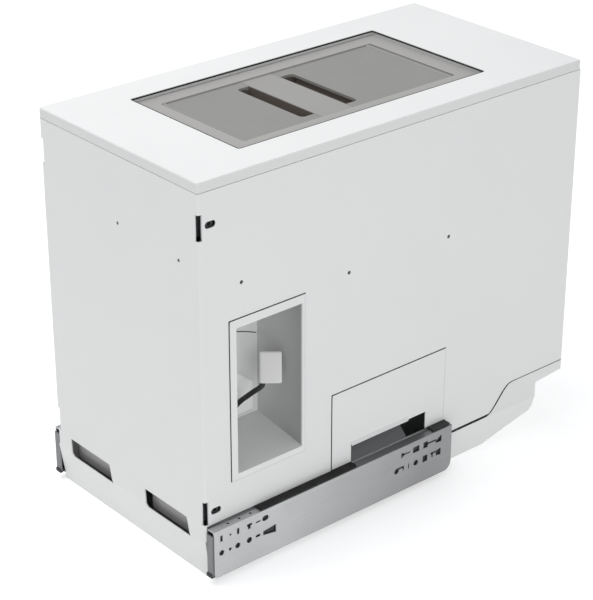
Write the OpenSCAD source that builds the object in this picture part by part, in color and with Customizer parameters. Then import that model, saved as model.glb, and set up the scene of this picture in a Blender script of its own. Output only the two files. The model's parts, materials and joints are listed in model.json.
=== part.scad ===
// Under-counter trash compactor on full-extension runners.
// Origin on the floor, under the centre of the overall box. +Z up, the front faces -Y.

/* [Casing] */
// Width of the painted casing
casing_w = 248; // [247:0.5:248.5]
// Depth of the casing, front to rear
casing_d = 500; // [499:0.5:501]
// Height from the floor to the top of the cap
casing_h = 420; // [418:1:440]
// Thickness of the painted sheet
sheet_t = 1.2; // [1:0.1:1.3]
// Thickness of the cap at its edge
cap_t = 10; // [9.5:0.5:10.5]
// Height of the sides' lower edge above the runners
skirt_z = 62; // [61.5:0.5:64]
// Height of the fold across the front
fold_z = 44; // [42:1:46]
// How far the plate under the fold leans back at the floor
fold_lean = 7; // [6:0.5:11]

/* [Top opening] */
// Width of the opening in the cap
opening_w = 168; // [166:1:170]
// Front edge of the opening, from the casing's middle
opening_front = -170; // [-171:1:-169]
// Rear edge of the opening, from the casing's middle
opening_rear = 150; // [149:1:152]
// Depth of the ledge below the cap's top
ledge_drop = 4.5; // [4.5:0.5:5]
// Width of the opening inside the ledge
throat_w = 128; // [127:1:129]

/* [Side pocket] */
// Height of the window
pocket_h = 157; // [155:0.5:158]
// Front edge of the window
pocket_front = -208; // [-209:1:-207]
// Rear edge of the window
pocket_rear = -127; // [-127:0.5:-126.5]
// Bottom edge of the window
pocket_z = 106; // [105.5:0.5:106]
// Distance of the pocket's back wall from the casing's middle
pocket_back_x = 55; // [54.5:0.5:55]
// Height of the pocket's floor at its back, above the window's bottom edge
floor_rise = 11; // [10:0.5:11]

/* [Side hatch] */
// Front edge of the hatch
hatch_front = -88; // [-88.5:0.5:-87.5]
// Rear edge of the hatch
hatch_rear = 68; // [67.5:0.5:68]
// Height of the hatch's top edge
hatch_top = 147.6; // [147.6:0.1:148]
// Gap round the hatch
hatch_gap = 0.8; // [0.7:0.1:1]

/* [Runners] */
// Height of the middle of the runners
runner_z = 33; // [33:0.1:33.4]
// Front end of the cabinet members
runner_front = -247; // [-247:0.5:-246.5]
// Length of the cabinet members
runner_len = 319; // [318:0.5:319]
// Overall width over the cabinet members
overall_w = 268; // [268:0.2:268.4]
// Radius of the runner balls
ball_r = 2; // [1.98:0.01:2]
// Steel gauge of the runner members
runner_t = 1.2; // [1.1:0.1:1.2]

/* [Press] */
// Distance of each lead screw from the middle
screw_x = 100; // [99:1:101]
// Height of the lead screws
screw_z = 290; // [289.5:0.5:290.5]
// Radius of the lead screws over the thread
screw_r = 8; // [7.8:0.1:8]
// Distance of each guide rod from the middle
rod_x_pos = 78; // [77:0.5:79]
// Radius of the guide rods
rod_r = 6; // [5.8:0.1:6]
// Distance of the motor shaft below the lead screws
shaft_drop = 65; // [62:1:66]
// Radius of the pulleys on the lead screws
big_pulley_r = 14; // [13:0.5:14]
// Radius of the pulley on the motor
small_pulley_r = 10; // [9:0.5:10]

/* [Bins] */
// Width of the bins
bin_w = 122; // [120:1:123]
// Height of the bins' rims
bin_top = 272; // [268:1:273]
// Wall of the bins
bin_t = 1.5; // [1.2:0.1:1.8]

/* [Hidden] */
$fn = 48;
play = 0.05;
half_w = casing_w / 2;
half_d = casing_d / 2;
half_overall = overall_w / 2;
cap_z = casing_h - cap_t;
wall_top = cap_z - 0.5;
ledge_z = casing_h - ledge_drop;
inner_x = half_w - sheet_t;
inner_y = half_d - sheet_t;
bend_r = 2.5;

// tray and the step in the sides' lower edge
tray_t = 1.5;
tray_x = 121.1;
tray_front = -236;
step_y = 72;
step_z = 42;
step_end = 171;
tail_z = 72;
curve_y = 133;
draft = 11;
seam = 0.8;

// flaps
flap_t = 3;
flap_z = ledge_z - 4.5;
flap_top = flap_z + flap_t;
axis_z = flap_z + flap_t / 2;
throat_front = -148;
throat_rear = 128;
bridge_front = -48;
bridge_rear = -8;
slot_w = 100;
slot_depth = 16;
front_axis_y = throat_front + 4;
rear_axis_y = throat_rear - 4;
flap_pin_r = 1.5;
barrel_r = 3;
frame_z = 409;

// side hatch
hinge_x = 121.6;
hinge_z = hatch_top - 2;
hatch_barrel_r = 1.2;
hatch_pin_r = 0.6;
notch_front = -62;
notch_rear = 42;
notch_top = 82;

// runner section, as heights from the runner's middle and depths from the cabinet side
drawer_half = 16;
ball_play = 0.03;
ball_step = 2 * (ball_r + ball_play);
inner_ball_z = drawer_half + ball_play + ball_r;
mid_in = drawer_half + ball_step;
mid_out = mid_in + runner_t;
outer_ball_z = mid_out + ball_play + ball_r;
cab_in = mid_out + ball_step;
cab_out = cab_in + runner_t;
cage_t = 0.6;
cage_front = -160;
cage_rear = -6;
ball_pitch = 16;
runner_rear = runner_front + runner_len;
drawer_front = runner_front + 7;
runner_screw_y = [-200, -90, 20];
row_high = 49.5;
row_low = 33.2;

// press
ram_front = -40;
ram_rear = -16;
ram_w = 114;
ram_z = 30;
beam_front = -38;
beam_rear = -18;
beam_half = 13;
plate_front_y = [-124, -116.5];
plate_rear_y = [132, 140];
plate_x = 118.1;
belt_y = [146, 156];
shaft_z = screw_z - shaft_drop;
journal_r = 6;
nose_r = 5;
bearing_r = 12;

// chute and well
chute_bottom = 306;
well_top = 275;
well_front = -115;
well_rear = 130;

// levers behind the front slots
lever_y = -236;
lever_z = 64;
lever_pin_r = 2;
slot_x = [27, 100];

// connector in the pocket, turned and tilted to face the hand that reaches in
connector_pos = [95.6, -143.3, 188];
connector_turn = [-25, 0, 50];
lead_r = 2.75;
lead_path = [
  [95.43, -153.67, 174], [96.12, -154.26, 172.05], [95.2, -156.2, 169.85], [92.5, -157.7, 167.4],
  [87.9, -158.4, 163.3], [81.5, -158.2, 157.4], [73.6, -157.5, 150.2], [65.4, -157.3, 142.8],
  [60.8, -160.5, 135.9], [60.9, -166, 130.6], [58.5, -169.6, 127.4], [54.5, -170, 127],
  [46, -170, 127], [36, -168, 125], [20, -160, 119], [5, -151, 114], [-5, -148, 112], [-15, -148, 112]
];
grommet_pos = [pocket_back_x - 0.6, -170, 127];
flange_front = pocket_front - 8;
flange_rear = pocket_rear + 3.2;
flange_low = pocket_z - 6.4;
flange_high = pocket_z + pocket_h + 9;

right_screws = [[-201, 308.7], [-67.6, 276.7], [66.7, 275]];
clamp_y = -236;
clamp_z = [76, 377];

// ---- shared shapes ----
module block(low, high) {
  translate(low) cube(high - low);
}

module rod_along_x(x0, x1, y, z, r) {
  translate([x0, y, z]) rotate([0, 90, 0]) cylinder(r = r, h = x1 - x0);
}

module rod_along_y(x, y0, y1, z, r) {
  translate([x, y0, z]) rotate([-90, 0, 0]) cylinder(r = r, h = y1 - y0);
}

module rod_up(x, y, z0, z1, r) {
  translate([x, y, z0]) cylinder(r = r, h = z1 - z0);
}

// an outline of (y, z) points, extruded from x0 to x1
module side_profile(x0, x1) {
  translate([x0, 0, 0]) rotate([90, 0, 90]) linear_extrude(x1 - x0) children();
}

// an outline of (x, z) points, extruded from y0 to y1
module front_profile(y0, y1) {
  translate([0, y1, 0]) rotate([90, 0, 0]) linear_extrude(y1 - y0) children();
}

module both_sides() {
  children();
  mirror([1, 0, 0]) children();
}

// a slot with round ends along Y, cut through a side wall
module side_slot(x0, x1, y, z, length, width) {
  reach = (length - width) / 2;
  block([x0, y - reach, z - width / 2], [x1, y + reach, z + width / 2]);
  rod_along_x(x0, x1, y - reach, z, width / 2);
  rod_along_x(x0, x1, y + reach, z, width / 2);
}

// a flat plate with round corners
module round_plate(low, high, r) {
  block([low[0] + r, low[1], low[2]], [high[0] - r, high[1], high[2]]);
  block([low[0], low[1] + r, low[2]], [high[0], high[1] - r, high[2]]);
  for (x = [low[0] + r, high[0] - r], y = [low[1] + r, high[1] - r])
    rod_up(x, y, low[2], high[2], r);
}

// ---- casing ----
// The lower edge of each side: straight over the runner, then a step that curves up to the tail.
function edge_curve(steps) = [
  for (i = [0:steps]) let (t = i / steps)
    [curve_y + (step_end - curve_y) * t, step_z + (tail_z - step_z) * t * t * (3 - 2 * t)]
];

module plan_block(inset, z0, z1) {
  x = half_w - inset;
  r = bend_r - inset;
  front = -half_d + inset;
  block([-x, front + r, z0], [x, half_d + inset, z1]);
  block([-x + r, front, z0], [x - r, front + r, z1]);
  for (side = [-1, 1])
    rod_up(side * (x - r), front + r, z0, z1, r);
}

module skirt_cut() {
  side_profile(-half_w - 1, half_w + 1)
    polygon(concat([[-half_d + bend_r, -1], [-half_d + bend_r, skirt_z], [step_y, skirt_z],
      [step_y, step_z]], edge_curve(8), [[half_d + 5, tail_z], [half_d + 5, -1]]));
}

module lower_front_plate() {
  front = -half_d;
  side_profile(-half_w + 0.3, half_w - 0.3)
    polygon([[front, fold_z], [front + fold_lean, 0], [front + fold_lean + sheet_t, 0],
      [front + sheet_t, fold_z + 0.2], [front + sheet_t, fold_z + 1], [front, fold_z + 1]]);
}

module front_slot() {
  corner_r = 3;
  low = 40;
  high = 60.5;
  front_profile(-half_d - 5, -half_d + 12)
    polygon([[slot_x[0], high], [slot_x[1] - 5, high], [slot_x[1], low],
      [slot_x[0] + corner_r + 1, low], [slot_x[0] + 1, low + corner_r]]);
}

module outer_casing() color("whitesmoke") {
  difference() {
    union() {
      difference() {
        plan_block(0, fold_z, wall_top);
        plan_block(sheet_t, fold_z - 1, wall_top + 1);
        block([-200, half_d, 0], [200, half_d + 10, casing_h]);
        skirt_cut();
      }
      lower_front_plate();
      both_sides()
        block([inner_x - 11, -inner_y, wall_top - sheet_t], [inner_x + 0.2, inner_y, wall_top]);
      block([-inner_x, -inner_y - 0.2, wall_top - sheet_t], [inner_x, -inner_y + 11, wall_top]);
    }
    block([inner_x - 3, flange_front - 1.1, flange_low - 0.25],
      [half_w + 1, flange_rear + 0.25, flange_high + 1.2]);
    block([inner_x - 3, hatch_front - hatch_gap - 0.3, skirt_z - 10],
      [half_w + 1, hatch_rear + hatch_gap, hatch_top + 1.2]);
    both_sides() for (hole = right_screws)
      rod_along_x(inner_x - 2, half_w + 1, hole[0], hole[1], 2);
    both_sides() for (z = clamp_z)
      side_slot(inner_x - 2, half_w + 1, clamp_y, z, 12.5, 7);
    both_sides() for (z = [63, 363])
      block([half_w - 4.6, -half_d - 1, z], [half_w + 0.2, -half_d + 4.8, z + 26]);
    rod_along_y(0, -half_d - 1, -half_d + 3, 340, 1.8);
    rod_along_y(94, -half_d - 1, -half_d + 3, 335, 1.8);
    for (shift = [0, -128])
      translate([shift, 0, 0]) front_slot();
  }
}

module rear_panel() color("whitesmoke") {
  difference() {
    block([-inner_x + 0.1, inner_y, tail_z + 0.4], [inner_x - 0.1, half_d, wall_top]);
    for (row = [0:5], side = [-1, 1])
      translate([side * 52, 0, 0])
        block([-34, inner_y - 1, 190 + row * 12], [34, half_d + 1, 194 + row * 12]);
    for (x = [-112, 112], z = [90, 240, 395])
      rod_along_y(x, inner_y - 1, half_d + 1, z, 1.8);
  }
}

// six short screws through the sides and six through the rear panel
module casing_screws() color("dimgray") {
  both_sides() for (hole = right_screws) {
    rod_along_x(plate_x + 3, inner_x - 0.1, hole[0], hole[1], 3.5);
    rod_along_x(inner_x - 0.2, half_w - 0.5, hole[0], hole[1], 1.9);
  }
  for (x = [-112, 112], z = [90, 240, 395]) {
    rod_along_y(x, inner_y - 10, half_d - 0.3, z, 1.7);
    rod_along_y(x, inner_y - 5, inner_y - 3, z, 3);
  }
}

// ---- base ----
module tray_side_outline(t) {
  rim = t > 0 ? 90 : 0;
  polygon(concat(
    [[tray_front + t, 58 + rim], [tray_front + t, t], [140 - t / 4, t], [165 - t / 3, 8 + t],
      [207 - t, 21 + t], [210 - t, 26 + t / 2], [210 - t, 57 + t], [half_d - t, 60 + t]],
    t > 0 ? [[half_d - t, tail_z + rim]] :
      concat([[half_d, tail_z - seam]],
        [for (i = [8:-1:0]) edge_curve(8)[i] - [0, seam]],
        [[step_y + seam, step_z - seam], [step_y + seam, 58]])));
}

module tray_front_outline(t, wide) {
  top = 170;
  x = (wide ? half_w : tray_x) - t;
  foot = (wide ? half_w - draft : tray_x) - t;
  polygon([[-foot, -1], [foot, -1], [foot, 0], [x, 40], [x, top], [-x, top], [-x, 40], [-foot, 0]]);
}

module tray_form(t) {
  intersection() {
    side_profile(-half_w, half_w) tray_side_outline(t);
    union() {
      front_profile(tray_front, step_y + seam + 2) tray_front_outline(t, false);
      front_profile(step_y + seam + t, half_d) tray_front_outline(t, true);
    }
  }
}

module base_tray() color("whitesmoke") {
  difference() {
    tray_form(0);
    tray_form(tray_t);
    block([-110, tray_front - 1, 22], [110, tray_front + 3, 70]);
    both_sides() for (y = runner_screw_y)
      rod_along_x(tray_x - 3, tray_x + 1, y, runner_z, 2);
  }
}

// ---- runners ----
// the point at a depth u from the cabinet side
function at_u(u) = half_overall - u;

module runner_channel(u0, u1, half_in, half_out, y0, y1) {
  x0 = at_u(u1);
  x1 = at_u(u0);
  for (side = [-1, 1])
    block([x0, y0, runner_z + min(side * half_in, side * half_out)],
      [x1, y1, runner_z + max(side * half_in, side * half_out)]);
}

// holes in the front end of a cabinet member, placed from its mounting hole
module front_end_holes(y) {
  x0 = at_u(3);
  x1 = at_u(-1);
  rod_along_x(x0, x1, y, row_low, 3.2);
  rod_along_x(x0, x1, y - 14.5, row_low, 3.1);
  rod_along_x(x0, x1, y - 24, row_low, 1.7);
  side_slot(x0, x1, y + 11, row_low + 0.4, 6, 3);
  side_profile(x0, x1)
    polygon([[y + 17.5, row_low - 1.9], [y + 17.5, row_low + 2.6], [y + 34, row_low + 4.5],
      [y + 34, row_low - 4.5]]);
  block([x0, y - 1.6, row_high - 3.4], [x1, y + 1.8, row_high + 1]);
  block([x0, y - 2.8, row_high], [x1, y + 3.6, row_high + 2.6]);
  block([x0, y - 15.3, row_high - 3.3], [x1, y - 12.4, row_high + 3.3]);
  rod_along_x(x0, x1, y - 23.5, row_high, 1.2);
  side_slot(x0, x1, y + 11.5, row_high + 0.2, 6.5, 1.6);
  side_slot(x0, x1, y + 20.5, row_high + 0.6, 8, 6);
}

// holes in the rear end of a cabinet member, placed from its mounting hole
module rear_end_holes(y) {
  x0 = at_u(3);
  x1 = at_u(-1);
  rod_along_x(x0, x1, y, row_low, 3.2);
  rod_along_x(x0, x1, y - 27.5, row_low, 3.2);
  block([x0, y - 26, row_low + 1.2], [x1, y - 17, row_low + 3.2]);
  block([x0, y - 19, row_low - 1.6], [x1, y - 17, row_low + 3.2]);
  block([x0, y - 11, row_low - 3], [x1, y - 9.8, row_low + 3]);
  block([x0, y + 9.8, row_low - 3.8], [x1, y + 16.6, row_low + 3.8]);
  block([x0, y + 21, row_low + 1.4], [x1, y + 31, row_low + 3.4]);
  block([x0, y + 22.6, row_low - 2.4], [x1, y + 24.6, row_low + 3.4]);
  side_profile(x0, x1)
    polygon([[y + 29, row_low - 2.6], [y + 29, row_low + 3.4], [y + 36, row_low + 4.6],
      [y + 36, row_low - 3.6]]);
  side_profile(x0, x1)
    polygon([[y - 21, row_high - 3.2], [y - 21, row_high + 3.2], [y - 14.6, row_high + 0.6]]);
  block([x0, y - 15.4, row_high - 0.4], [x1, y - 8.4, row_high + 0.9]);
  block([x0, y - 4.4, row_high - 3.4], [x1, y + 4.6, row_high + 3.4]);
  block([x0, y + 10.4, row_high - 3.6], [x1, y + 16.8, row_high + 3.6]);
  block([x0, y + 16, row_high - 0.6], [x1, y + 29, row_high + 1.3]);
  side_profile(x0, x1)
    polygon([[y + 27.4, row_high - 1.6], [y + 36.6, row_high + 4.2], [y + 36.6, row_high - 3.8],
      [y + 30, row_high - 3.8]]);
}

module cabinet_holes() {
  front_end_holes(-203.5);
  rear_end_holes(20.5);
  rod_along_x(at_u(3), at_u(-1), -238, row_low, 3);
  block([at_u(3), -239.5, row_high - 3.4], [at_u(-1), -236.6, row_high + 3.4]);
}

// what is cut away to round a lower corner of a cabinet member
module lower_corner(y, side, r) {
  z = runner_z - cab_out;
  difference() {
    block([at_u(12), min(y + side, y - side * r), z - 1], [at_u(-1), max(y + side, y - side * r), z + r]);
    rod_along_x(at_u(13), at_u(-2), y - side * r, z + r, r);
  }
}

module cabinet_member() {
  difference() {
    union() {
      block([at_u(runner_t), runner_front, runner_z - cab_out],
        [at_u(0), runner_rear, runner_z + cab_out]);
      runner_channel(0, 9.5, cab_in, cab_out, runner_front, runner_rear);
      runner_channel(8.5, 9.5, cab_in - 0.9, cab_out, runner_front, runner_rear);
    }
    cabinet_holes();
    lower_corner(runner_front, -1, 5);
    lower_corner(runner_rear, 1, 10);
    for (y = [-226:14:-170])
      rod_up(at_u(5), y, runner_z + cab_in - 1, runner_z + cab_out + 1, 1.5);
  }
}

module left_cabinet_member() color("silver") mirror([1, 0, 0]) cabinet_member();

module right_cabinet_member() color("silver") cabinet_member();

module runner_bumpers() color("black") {
  both_sides() {
    block([at_u(9.3), runner_front - 3, runner_z - cab_in],
      [at_u(1.2), runner_front, runner_z - mid_out - 0.4]);
    block([at_u(8.3), runner_front - 1, runner_z - cab_in],
      [at_u(1.2), runner_front + 5, runner_z - mid_out - 0.4]);
  }
}

module intermediate_members() color("silver") {
  both_sides() {
    block([at_u(3.5), runner_front + 2, runner_z - mid_out],
      [at_u(2.3), runner_rear - 2, runner_z + mid_out]);
    runner_channel(2.3, 9, mid_in, mid_out, runner_front + 2, runner_rear - 2);
  }
}

module drawer_members() color("silver") {
  both_sides() difference() {
    union() {
      block([tray_x, drawer_front, runner_z - drawer_half],
        [tray_x + runner_t, runner_rear - 2, runner_z + drawer_half]);
      runner_channel(4.6, half_overall - tray_x, drawer_half - runner_t, drawer_half,
        drawer_front, runner_rear - 2);
    }
    for (y = runner_screw_y)
      rod_along_x(tray_x - 1, tray_x + 3, y, runner_z, 2);
  }
}

module runner_screws() color("gray") {
  both_sides() for (y = runner_screw_y) {
    rod_along_x(tray_x - 4, tray_x + 1.4, y, runner_z, 2);
    rod_along_x(tray_x + runner_t, tray_x + 3.2, y, runner_z, 4);
  }
}

// a thin channel with a pocket for each ball, and its balls
module ball_cage(u0, u1, ball_u, row_z) {
  rows = [-1, 1];
  count = floor((cage_rear - cage_front) / ball_pitch);
  first = cage_front + ball_pitch / 2;
  difference() {
    union() {
      block([at_u(u0 + cage_t), cage_front, runner_z - row_z], [at_u(u0), cage_rear, runner_z + row_z]);
      for (side = rows)
        block([at_u(u1), cage_front, runner_z + side * row_z - 0.4],
          [at_u(u0), cage_rear, runner_z + side * row_z + 0.4]);
    }
    for (i = [0:count - 1], side = rows)
      rod_up(at_u(ball_u), first + i * ball_pitch, runner_z + side * row_z - 1,
        runner_z + side * row_z + 1, ball_r + 0.1);
  }
  for (i = [0:count - 1], side = rows)
    translate([at_u(ball_u), first + i * ball_pitch, runner_z + side * row_z]) sphere(r = ball_r);
}

module outer_ball_cages() color("lightgray") both_sides() ball_cage(1.45, 7.7, 5.2, outer_ball_z);

module inner_ball_cages() color("lightgray") both_sides() ball_cage(3.75, 9, 6.6, inner_ball_z);

// ---- cap, frame and flaps ----
module top_cap() color("white") {
  low = [-opening_w / 2, opening_front, 0];
  high = [opening_w / 2, opening_rear, 0];
  rim = [3, 3, 0];
  difference() {
    round_plate([-half_w, -half_d, cap_z], [half_w, half_d, casing_h], 2.5);
    round_plate(low + [0, 0, cap_z - 1], high + [0, 0, casing_h + 1], 2);
    difference() {
      block([-half_w + 3, -half_d + 3, cap_z - 1], [half_w - 3, half_d - 3, casing_h - 2.5]);
      round_plate(low - rim + [0, 0, cap_z - 2], high + rim + [0, 0, casing_h], 4);
    }
  }
}

module cap_gasket() color("black") {
  difference() {
    block([-half_w + 0.8, -half_d + 0.8, wall_top], [half_w - 0.8, half_d - 0.8, cap_z]);
    block([-half_w + 7, -half_d + 7, wall_top - 1], [half_w - 7, half_d - 7, cap_z + 1]);
  }
}

module recess_frame() color("lightgray") {
  shelf = 6;
  difference() {
    union() {
      block([-92, opening_front - 8, frame_z], [92, opening_rear + 8, cap_z]);
      round_plate([-opening_w / 2 + 0.3, opening_front + 0.3, cap_z - 1],
        [opening_w / 2 - 0.3, opening_rear - 0.3, ledge_z], 1.8);
    }
    difference() {
      round_plate([-throat_w / 2, throat_front, frame_z - 1], [throat_w / 2, throat_rear, ledge_z + 1], 2);
      both_sides()
        block([throat_w / 2 - shelf, bridge_front + 2, frame_z - 1],
          [throat_w / 2 + 1, bridge_rear - 2, flap_z]);
    }
    for (y = [front_axis_y, rear_axis_y])
      rod_along_x(-70, 70, y, axis_z, flap_pin_r);
  }
}

module centre_bridge() color("lightgray") {
  x = throat_w / 2 - 0.2;
  block([-x, bridge_front, flap_z], [x, bridge_rear, flap_top]);
  difference() {
    block([-57, bridge_front - 3, flap_z - 4], [57, bridge_rear + 3, flap_z]);
    block([-54, bridge_front, flap_z - 5], [54, bridge_rear, flap_z - 1.5]);
    block([-60, bridge_front - 4, flap_z - 0.2], [60, bridge_front, flap_z + 1]);
    block([-60, bridge_rear, flap_z - 0.2], [60, bridge_rear + 4, flap_z + 1]);
    block([-slot_w / 2, bridge_front - 4, flap_z - 5], [slot_w / 2, bridge_front, flap_z - 0.2]);
    block([-slot_w / 2, bridge_rear, flap_z - 5], [slot_w / 2, bridge_rear + 4, flap_z - 0.2]);
  }
}

// a shallow tray under a finger slot, hung from the bridge
module finger_well() {
  x = slot_w / 2 - 0.5;
  wall = 0.8;
  low = flap_z - 6.9;
  outer = bridge_front - 19.3;
  difference() {
    block([-x, outer, low], [x, bridge_front, flap_z - 0.5]);
    block([-x + wall, outer + wall, low + wall], [x - wall, bridge_front - wall, flap_z]);
  }
  block([-x, bridge_front - wall, flap_z - 1], [x, bridge_front, flap_top - 0.3]);
}

module finger_wells() color("rosybrown") {
  finger_well();
  translate([0, bridge_front + bridge_rear, 0]) mirror([0, 1, 0]) finger_well();
}

// the pins of the flaps, the release levers and the side hatch
module hinge_pins() color("silver") {
  for (y = [front_axis_y, rear_axis_y])
    rod_along_x(-70, 70, y, axis_z, flap_pin_r);
  for (shift = [0, -128])
    rod_along_x(slot_x[0] - 4.8 + shift, slot_x[1] + 4.8 + shift, lever_y, lever_z, lever_pin_r);
  rod_along_y(hinge_x, hatch_front - 5, hatch_rear + 5, hinge_z, hatch_pin_r);
}

// a flap that reaches from its hinge to the bridge, with a finger slot at its free edge
module flap(axis_y, free_y) {
  x = throat_w / 2 - 0.6;
  dir = free_y > axis_y ? 1 : -1;
  inner = free_y - dir * slot_depth;
  difference() {
    union() {
      block([-x, min(axis_y, free_y), flap_z], [x, max(axis_y, free_y), flap_top]);
      rod_along_x(-x, x, axis_y, axis_z, barrel_r);
      for (rib = [-30, 30])
        block([rib - 1, min(axis_y + dir * 8, inner - dir * 6), flap_z - 3],
          [rib + 1, max(axis_y + dir * 8, inner - dir * 6), flap_z + 0.5]);
    }
    rod_along_x(-x - 1, x + 1, axis_y, axis_z, flap_pin_r + play);
    block([-slot_w / 2, min(inner + dir * 5, free_y + dir), flap_z - 5],
      [slot_w / 2, max(inner + dir * 5, free_y + dir), flap_top + 1]);
    block([-slot_w / 2 + 5, min(inner, free_y), flap_z - 5],
      [slot_w / 2 - 5, max(inner, free_y), flap_top + 1]);
    for (side = [-1, 1])
      rod_up(side * (slot_w / 2 - 5), inner + dir * 5, flap_z - 5, flap_top + 1, 5);
  }
}

module front_flap() color("darkgray") flap(front_axis_y, bridge_front - 0.4);

module rear_flap() color("darkgray") flap(rear_axis_y, bridge_rear + 0.4);

// ---- chute, well and bins ----
module chute_outline(t) {
  polygon([[throat_front - 2 - t, frame_z + 2 - t * 4 / 3], [throat_front - 2 - t, 380],
    [well_front - t, chute_bottom - 2 + t], [well_rear + t, chute_bottom - 2 + t],
    [well_rear + t, frame_z + 2 - t * 4 / 3]]);
}

module upper_chute() color("lightgray") {
  difference() {
    union() {
      side_profile(-throat_w / 2 - 1.5, throat_w / 2 + 1.5) chute_outline(1.5);
      block([-90, throat_front - 22, frame_z - 1.5], [90, throat_rear + 20, frame_z]);
    }
    side_profile(-throat_w / 2, throat_w / 2) chute_outline(0);
  }
}

module bin_well() color("lightgray") {
  difference() {
    block([-64.2, well_front - sheet_t, tray_t], [64.2, well_rear + sheet_t, well_top]);
    block([-63, well_front, tray_t + sheet_t], [63, well_rear, well_top + 1]);
  }
}

// a bin that is open at the top and open towards the ram above a low sill
module bin(y0, y1, open_y, sill_y0, sill_y1) {
  base = tray_t + sheet_t + 0.3;
  x = bin_w / 2;
  difference() {
    block([-x, y0, base], [x, y1, bin_top]);
    block([-x + bin_t, y0 + bin_t, base + bin_t], [x - bin_t, y1 - bin_t, bin_top + 1]);
    block([-x + bin_t, sill_y0, 25], [x - bin_t, sill_y1, bin_top + 1]);
  }
}

module front_bin() color("dimgray") bin(-113, -46, -46, -52, -45);

module rear_bin() color("dimgray") bin(-10, 127, -10, -11, -4);

// ---- pocket ----
// the pocket in section, with a floor that falls towards the window
module pocket_section(t, x1) {
  polygon([[pocket_back_x - t, pocket_z + floor_rise - t], [half_w, pocket_z - t], [x1, pocket_z - t],
    [x1, pocket_z + pocket_h + t], [pocket_back_x - t, pocket_z + pocket_h + t]]);
}

module cable_pocket() color("whitesmoke") {
  t = sheet_t;
  difference() {
    union() {
      intersection() {
        front_profile(pocket_front - t, pocket_rear + t) pocket_section(t, half_w);
        block([0, -half_d, 0], [inner_x + 0.1, 0, casing_h]);
      }
      block([inner_x, flange_front, flange_low], [half_w, flange_rear, flange_high]);
    }
    front_profile(pocket_front, pocket_rear) pocket_section(0, half_w + 1);
    rod_along_x(pocket_back_x - 3, pocket_back_x + 1, grommet_pos[1], grommet_pos[2], 5);
  }
  side_profile(pocket_back_x - 0.1, pocket_back_x + 1)
    polygon([[-161, 121.5], [-134, 121.5], [-134, 153], [-161, 175.4]]);
}

module mains_connector() color("white") {
  translate(connector_pos) rotate(connector_turn)
    translate([-10.8, -4.5, -15.4]) cube([21.6, 9, 30.8]);
  translate([0, 0, connector_pos[2] - 5])
    linear_extrude(7.5)
      polygon([[89.5, -145.2], [95.5, -138.7], [90, pocket_rear], [82, pocket_rear]]);
}

function unit_of(v) = v / norm(v);

function lead_heading(i) = unit_of(
  lead_path[min(i + 1, len(lead_path) - 1)] - lead_path[max(i - 1, 0)]);

function ring(i, sides) = let (
    along = lead_heading(i),
    across = unit_of(cross(along, [0, 1, 0.05])),
    up = cross(across, along))
  [for (k = [0:sides - 1]) let (a = 360 * k / sides)
    lead_path[i] + lead_r * (cos(a) * across + sin(a) * up)];

module connector_lead() color("black") {
  sides = 10;
  rings = len(lead_path);
  points = [for (i = [0:rings - 1]) each ring(i, sides)];
  walls = [for (i = [0:rings - 2], k = [0:sides - 1]) let (n = (k + 1) % sides)
    [i * sides + k, i * sides + n, (i + 1) * sides + n, (i + 1) * sides + k]];
  ends = [[for (k = [sides - 1:-1:0]) k], [for (k = [0:sides - 1]) (rings - 1) * sides + k]];
  polyhedron(points = points, faces = concat(walls, ends), convexity = 6);
}

module lead_grommet() color("black") {
  difference() {
    union() {
      rod_along_x(pocket_back_x - 3, pocket_back_x + 1.5, grommet_pos[1], grommet_pos[2], 5);
      rod_along_x(pocket_back_x, pocket_back_x + 1.5, grommet_pos[1], grommet_pos[2], 7);
      rod_along_x(pocket_back_x - 3, pocket_back_x - sheet_t, grommet_pos[1], grommet_pos[2], 7);
    }
    rod_along_x(pocket_back_x - 5, pocket_back_x + 5, grommet_pos[1], grommet_pos[2], lead_r + 0.45);
  }
}

// ---- hatch ----
module side_hatch() color("whitesmoke") {
  barrel = [hatch_front + 0.5, hatch_rear - 0.5];
  difference() {
    union() {
      block([inner_x, hatch_front, skirt_z + 0.4], [half_w, hatch_rear, hatch_top]);
      block([hinge_x, barrel[0], hinge_z - hatch_barrel_r],
        [inner_x + 0.2, barrel[1], hinge_z + hatch_barrel_r]);
      rod_along_y(hinge_x, barrel[0], barrel[1], hinge_z, hatch_barrel_r);
    }
    block([inner_x - 3, notch_front, skirt_z - 1], [half_w + 1, notch_rear, notch_top]);
    rod_along_y(hinge_x, hatch_front - 5, hatch_rear + 5, hinge_z, hatch_pin_r + play);
  }
  front_profile(notch_front, notch_rear - 26)
    polygon([[half_w - 0.4, notch_top + 4], [half_w + 2.2, notch_top + 0.2],
      [half_w + 1.6, notch_top - 0.6], [half_w - 0.4, notch_top + 2.2]]);
}

module hatch_pivot_brackets() color("silver") {
  for (y = [hatch_front - 5, hatch_rear + 1.2]) difference() {
    block([119.5, y, hinge_z - 3], [inner_x, y + 3.8, hatch_top + 10]);
    rod_along_y(hinge_x, y - 1, y + 5, hinge_z, hatch_pin_r);
  }
}

module hatch_guard() color("dimgray") {
  front_profile(-80, 20)
    polygon([[119.4, 56], [107, 68], [107, 92], [68, 112], [64.2, 112], [64.2, 113.4], [68.4, 113.4],
      [108.4, 92.8], [108.4, 68.6], [119.4, 57.8]]);
}

// rubber strips under the sides' lower edges, over the runners
module skirt_seals() color("black")
  both_sides()
    block([inner_x, -188, skirt_z - 2], [half_w + 8.6, notch_front, skirt_z]);

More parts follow.
